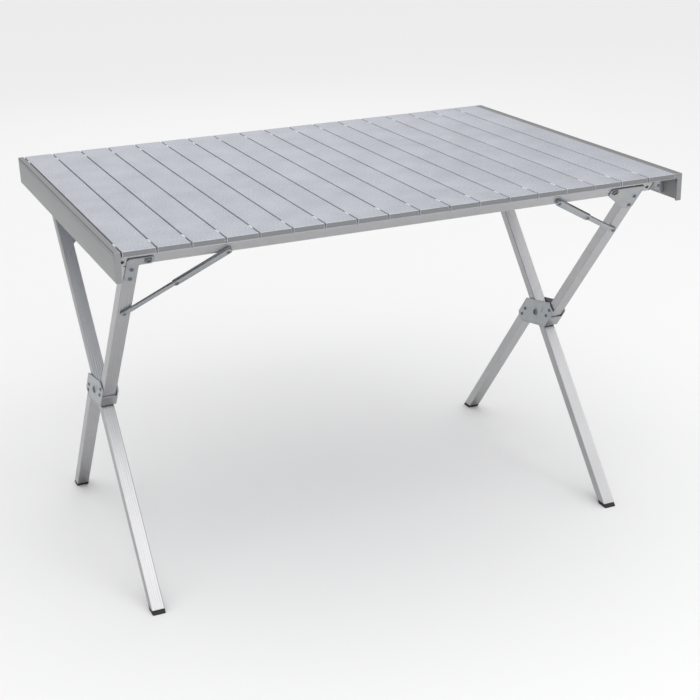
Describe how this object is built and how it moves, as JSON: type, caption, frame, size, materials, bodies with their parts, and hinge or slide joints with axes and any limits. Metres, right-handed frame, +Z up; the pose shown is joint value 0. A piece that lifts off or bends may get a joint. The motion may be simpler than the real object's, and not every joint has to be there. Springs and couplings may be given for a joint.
{
  "type": "folding table",
  "caption": "Folding camping table: roll-up aluminium slat top with end aprons, on two crossed tube frames hinged at hubs, with folding braces and black feet.",
  "frame": {"origin": "centre of the table on the floor", "axes": "+Z up, X along the rails across the slats, -Y the side where the split legs' rail is"},
  "size_m": [1.0444, 0.76, 0.7],
  "materials": {
    "slat_aluminium": "fine satin anodised extrusion",
    "skirt_aluminium": "satin anodised extrusion",
    "tube_aluminium": "satin anodised tube with fine extrusion lines",
    "zinc_steel": "bright zinc-plated pressed steel",
    "rivet_steel": "dull steel rivets with hollow centres",
    "joiner_plastic": "pale moulded plastic",
    "black_plug": "moulded black rubber"
  },
  "bodies": {
    "near_frame": {"near_rail": "tube_aluminium", "near_rail_plugs": "black_plug", "near_corner_plates": "zinc_steel", "near_braces": "zinc_steel", "near_rivets": "rivet_steel", "leg_b_left_upper": "tube_aluminium", "leg_b_left_lower": "tube_aluminium", "leg_b_right_upper": "tube_aluminium", "leg_b_right_lower": "tube_aluminium", "far_feet": "black_plug", "hub_left": "zinc_steel", "hub_right": "zinc_steel"},
    "far_frame": {"far_rail": "tube_aluminium", "far_rail_plugs": "black_plug", "far_corner_plates": "zinc_steel", "far_braces": "zinc_steel", "far_rivets": "rivet_steel", "leg_a_left": "tube_aluminium", "leg_a_right": "tube_aluminium", "near_feet": "black_plug"},
    "apron_left": {"skirt_left": "skirt_aluminium", "catches_left": "zinc_steel"},
    "top_01": {"slat_01": "slat_aluminium", "joiner_01": "joiner_plastic"},
    "top_02": {"slat_02": "slat_aluminium", "joiner_02": "joiner_plastic"},
    "top_03": {"slat_03": "slat_aluminium", "joiner_03": "joiner_plastic"},
    "top_04": {"slat_04": "slat_aluminium", "joiner_04": "joiner_plastic"},
    "top_05": {"slat_05": "slat_aluminium", "joiner_05": "joiner_plastic"},
    "top_06": {"slat_06": "slat_aluminium", "joiner_06": "joiner_plastic"},
    "top_07": {"slat_07": "slat_aluminium", "joiner_07": "joiner_plastic"},
    "top_08": {"slat_08": "slat_aluminium", "joiner_08": "joiner_plastic"},
    "top_09": {"slat_09": "slat_aluminium", "joiner_09": "joiner_plastic"},
    "top_10": {"slat_10": "slat_aluminium", "joiner_10": "joiner_plastic"},
    "top_11": {"slat_11": "slat_aluminium", "joiner_11": "joiner_plastic"},
    "top_12": {"slat_12": "slat_aluminium", "joiner_12": "joiner_plastic"},
    "top_13": {"slat_13": "slat_aluminium", "joiner_13": "joiner_plastic"},
    "top_14": {"slat_14": "slat_aluminium", "joiner_14": "joiner_plastic"},
    "top_15": {"slat_15": "slat_aluminium", "joiner_15": "joiner_plastic"},
    "top_16": {"slat_16": "slat_aluminium", "joiner_16": "joiner_plastic"},
    "top_17": {"slat_17": "slat_aluminium", "joiner_17": "joiner_plastic"},
    "top_18": {"slat_18": "slat_aluminium", "joiner_18": "joiner_plastic", "skirt_right": "skirt_aluminium", "catches_right": "zinc_steel"}
  },
  "joints": [
    {"name": "base_close", "type": "hinge", "parent": "near_frame", "child": "far_frame", "pos_m": [0, 0, 0.333], "axis": [1, 0, 0], "range_deg": [0, 79.4]},
    {"name": "top_lift", "type": "slide", "parent": "near_frame", "child": "apron_left", "axis": [0, 0, 1], "range_m": [0, 0.41]},
    {"name": "top_roll", "type": "hinge", "parent": "apron_left", "child": "top_01", "pos_m": [-0.51, 0, 0.7], "axis": [0, -1, 0], "range_deg": [0, 17]},
    {"name": "top_roll_02", "type": "hinge", "parent": "top_01", "child": "top_02", "pos_m": [-0.4535, 0, 0.7], "axis": [0, -1, 0], "range_deg": [0, 17]},
    {"name": "top_roll_03", "type": "hinge", "parent": "top_02", "child": "top_03", "pos_m": [-0.397, 0, 0.7], "axis": [0, -1, 0], "range_deg": [0, 17]},
    {"name": "top_roll_04", "type": "hinge", "parent": "top_03", "child": "top_04", "pos_m": [-0.3405, 0, 0.7], "axis": [0, -1, 0], "range_deg": [0, 17]},
    {"name": "top_roll_05", "type": "hinge", "parent": "top_04", "child": "top_05", "pos_m": [-0.284, 0, 0.7], "axis": [0, -1, 0], "range_deg": [0, 17]},
    {"name": "top_roll_06", "type": "hinge", "parent": "top_05", "child": "top_06", "pos_m": [-0.2275, 0, 0.7], "axis": [0, -1, 0], "range_deg": [0, 17]},
    {"name": "top_roll_07", "type": "hinge", "parent": "top_06", "child": "top_07", "pos_m": [-0.171, 0, 0.7], "axis": [0, -1, 0], "range_deg": [0, 17]},
    {"name": "top_roll_08", "type": "hinge", "parent": "top_07", "child": "top_08", "pos_m": [-0.1145, 0, 0.7], "axis": [0, -1, 0], "range_deg": [0, 17]},
    {"name": "top_roll_09", "type": "hinge", "parent": "top_08", "child": "top_09", "pos_m": [-0.058, 0, 0.7], "axis": [0, -1, 0], "range_deg": [0, 17]},
    {"name": "top_roll_10", "type": "hinge", "parent": "top_09", "child": "top_10", "pos_m": [-0.0015, 0, 0.7], "axis": [0, -1, 0], "range_deg": [0, 17]},
    {"name": "top_roll_11", "type": "hinge", "parent": "top_10", "child": "top_11", "pos_m": [0.055, 0, 0.7], "axis": [0, -1, 0], "range_deg": [0, 17]},
    {"name": "top_roll_12", "type": "hinge", "parent": "top_11", "child": "top_12", "pos_m": [0.1115, 0, 0.7], "axis": [0, -1, 0], "range_deg": [0, 17]},
    {"name": "top_roll_13", "type": "hinge", "parent": "top_12", "child": "top_13", "pos_m": [0.168, 0, 0.7], "axis": [0, -1, 0], "range_deg": [0, 17]},
    {"name": "top_roll_14", "type": "hinge", "parent": "top_13", "child": "top_14", "pos_m": [0.2245, 0, 0.7], "axis": [0, -1, 0], "range_deg": [0, 17]},
    {"name": "top_roll_15", "type": "hinge", "parent": "top_14", "child": "top_15", "pos_m": [0.281, 0, 0.7], "axis": [0, -1, 0], "range_deg": [0, 17]},
    {"name": "top_roll_16", "type": "hinge", "parent": "top_15", "child": "top_16", "pos_m": [0.3375, 0, 0.7], "axis": [0, -1, 0], "range_deg": [0, 17]},
    {"name": "top_roll_17", "type": "hinge", "parent": "top_16", "child": "top_17", "pos_m": [0.394, 0, 0.7], "axis": [0, -1, 0], "range_deg": [0, 17]},
    {"name": "top_roll_18", "type": "hinge", "parent": "top_17", "child": "top_18", "pos_m": [0.4505, 0, 0.7], "axis": [0, -1, 0], "range_deg": [0, 17]}
  ],
  "couplings": [
    {"joint": "top_lift", "follows": "base_close", "m_per_rad": 0.29},
    {"joint": "top_roll_02", "follows": "top_roll", "ratio": 1},
    {"joint": "top_roll_03", "follows": "top_roll", "ratio": 1},
    {"joint": "top_roll_04", "follows": "top_roll", "ratio": 1},
    {"joint": "top_roll_05", "follows": "top_roll", "ratio": 1},
    {"joint": "top_roll_06", "follows": "top_roll", "ratio": 1},
    {"joint": "top_roll_07", "follows": "top_roll", "ratio": 1},
    {"joint": "top_roll_08", "follows": "top_roll", "ratio": 1},
    {"joint": "top_roll_09", "follows": "top_roll", "ratio": 1},
    {"joint": "top_roll_10", "follows": "top_roll", "ratio": 1},
    {"joint": "top_roll_11", "follows": "top_roll", "ratio": 1},
    {"joint": "top_roll_12", "follows": "top_roll", "ratio": 1},
    {"joint": "top_roll_13", "follows": "top_roll", "ratio": 1},
    {"joint": "top_roll_14", "follows": "top_roll", "ratio": 1},
    {"joint": "top_roll_15", "follows": "top_roll", "ratio": 1},
    {"joint": "top_roll_16", "follows": "top_roll", "ratio": 1},
    {"joint": "top_roll_17", "follows": "top_roll", "ratio": 1},
    {"joint": "top_roll_18", "follows": "top_roll", "ratio": 1}
  ]
}
